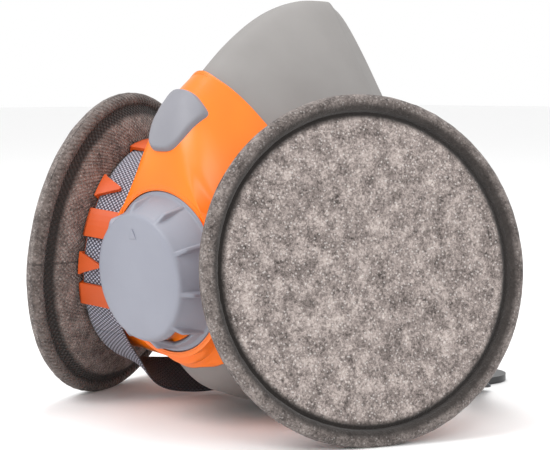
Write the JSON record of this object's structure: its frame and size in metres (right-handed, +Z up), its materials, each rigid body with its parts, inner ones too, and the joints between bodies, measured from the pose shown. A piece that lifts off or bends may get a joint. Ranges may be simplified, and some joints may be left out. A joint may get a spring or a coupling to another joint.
{
  "type": "half-face painters respirator",
  "caption": "Reusable half-face respirator with two twist-on disc filters, an exhalation valve and an elastic harness.",
  "frame": {"origin": "on the table, under the middle of the whole mask and its harness", "axes": "+X to the wearer's left, -Y forward from the face, +Z up"},
  "size_m": [0.1646, 0.1692, 0.1349],
  "materials": {
    "facepiece_tpe": "matt moulded thermoplastic elastomer",
    "shell_orange": "satin injection moulded ABS",
    "guide_orange": "moulded polypropylene",
    "cover_grey": "satin moulded ABS",
    "silicone": "soft silicone",
    "port_black": "moulded nylon",
    "filter_felt": "needled carbon felt",
    "filter_media": "pleated microfibre and carbon layer",
    "webbing": "woven elastic webbing",
    "clasp_black": "moulded acetal"
  },
  "bodies": {
    "mask": {"facepiece": "facepiece_tpe", "front_shell": "shell_orange", "top_cover": "cover_grey", "valve_housing": "shell_orange", "exhalation_seat": "shell_orange", "cheek_drum_right": "shell_orange", "port_right": "port_black", "port_gasket_right": "silicone", "inhalation_seat_right": "port_black", "strap_guide_right": "guide_orange", "strap_belt_right": "webbing", "strap_upper_right": "webbing", "strap_lower_right": "webbing", "cheek_drum_left": "shell_orange", "port_left": "port_black", "port_gasket_left": "silicone", "inhalation_seat_left": "port_black", "strap_guide_left": "guide_orange", "strap_belt_left": "webbing", "strap_upper_left": "webbing", "strap_lower_left": "webbing", "neck_clasp_socket": "clasp_black", "head_cradle": "clasp_black"},
    "exhalation_cover_body": {"exhalation_cover": "cover_grey"},
    "exhalation_flap_body": {"exhalation_flap": "silicone"},
    "filter_right": {"filter_face_right": "filter_felt", "filter_back_right": "filter_felt", "filter_media_right": "filter_media", "filter_coupling_right": "port_black"},
    "inhalation_flap_right_body": {"inhalation_flap_right": "silicone"},
    "filter_left": {"filter_face_left": "filter_felt", "filter_back_left": "filter_felt", "filter_media_left": "filter_media", "filter_coupling_left": "port_black"},
    "inhalation_flap_left_body": {"inhalation_flap_left": "silicone"},
    "neck_hook": {"neck_clasp_hook": "clasp_black"}
  },
  "joints": [
    {"name": "exhalation_cover_turn", "type": "hinge", "parent": "mask", "child": "exhalation_cover_body", "pos_m": [0, -0.07491, 0.04784], "axis": [0, -0.9952, -0.0976], "range_deg": [0, 30]},
    {"name": "exhalation_flap_lift", "type": "slide", "parent": "mask", "child": "exhalation_flap_body", "axis": [0, -0.9952, -0.0976], "range_m": [0, 0.0014], "stiffness_N_per_m": 20},
    {"name": "filter_right_turn", "type": "hinge", "parent": "mask", "child": "filter_right", "pos_m": [0.0631, -0.03635, 0.05252], "axis": [0.9248, -0.3596, 0.1239], "range_deg": [0, 60]},
    {"name": "inhalation_flap_right_lift", "type": "slide", "parent": "mask", "child": "inhalation_flap_right_body", "axis": [-0.9248, 0.3596, -0.1239], "range_m": [0, 0.0014], "stiffness_N_per_m": 20},
    {"name": "filter_left_turn", "type": "hinge", "parent": "mask", "child": "filter_left", "pos_m": [-0.0631, -0.03635, 0.05252], "axis": [-0.9248, -0.3596, 0.1239], "range_deg": [0, 60]},
    {"name": "inhalation_flap_left_lift", "type": "slide", "parent": "mask", "child": "inhalation_flap_left_body", "axis": [0.9248, 0.3596, -0.1239], "range_m": [0, 0.0014], "stiffness_N_per_m": 20},
    {"name": "neck_clasp_lift", "type": "slide", "parent": "mask", "child": "neck_hook", "axis": [0, 0, 1], "range_m": [0, 0.006]}
  ]
}
